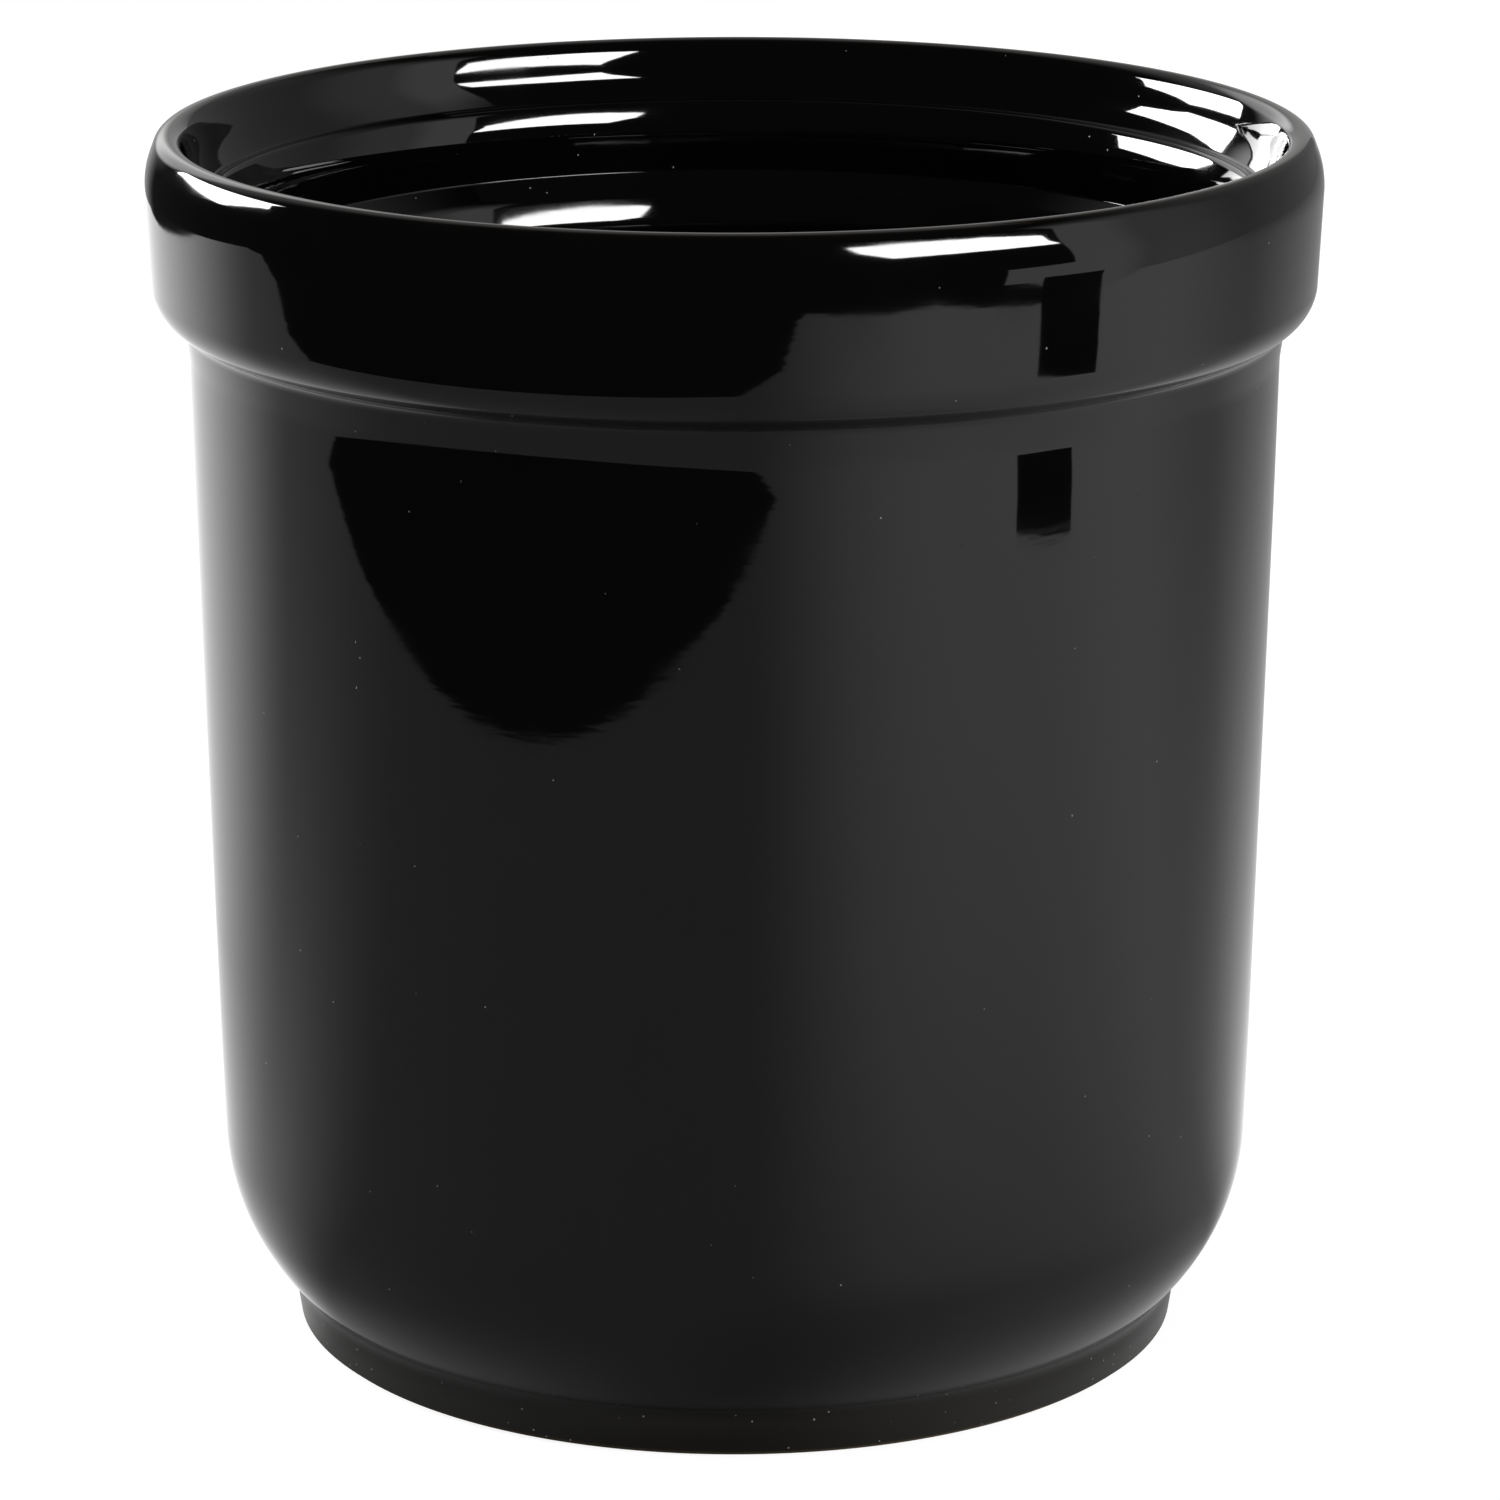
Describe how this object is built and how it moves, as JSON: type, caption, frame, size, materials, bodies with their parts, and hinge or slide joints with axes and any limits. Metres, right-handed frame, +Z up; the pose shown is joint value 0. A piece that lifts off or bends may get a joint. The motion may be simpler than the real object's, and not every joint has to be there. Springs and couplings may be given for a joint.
{
  "type": "kitchen crock",
  "caption": "Open round stoneware kitchen crock with a black gloss glaze, thick collar, rolled lip, inner lid ledge and bare foot ring.",
  "frame": {"origin": "centre of the foot, on the plane that the foot ring stands on", "axes": "+Z up along the axis of turning, -Y towards the viewer of the picture, +X to that viewer's right"},
  "size_m": [0.166, 0.166, 0.175],
  "materials": {
    "clay": "bare fired stoneware, matt",
    "outer_glaze": "gloss black glaze",
    "liner_glaze": "gloss black glaze",
    "underside_glaze": "gloss black glaze"
  },
  "bodies": {
    "root": {"clay_body": "clay", "outer_glaze": "outer_glaze", "liner_glaze": "liner_glaze", "underside_glaze": "underside_glaze"}
  },
  "joints": []
}
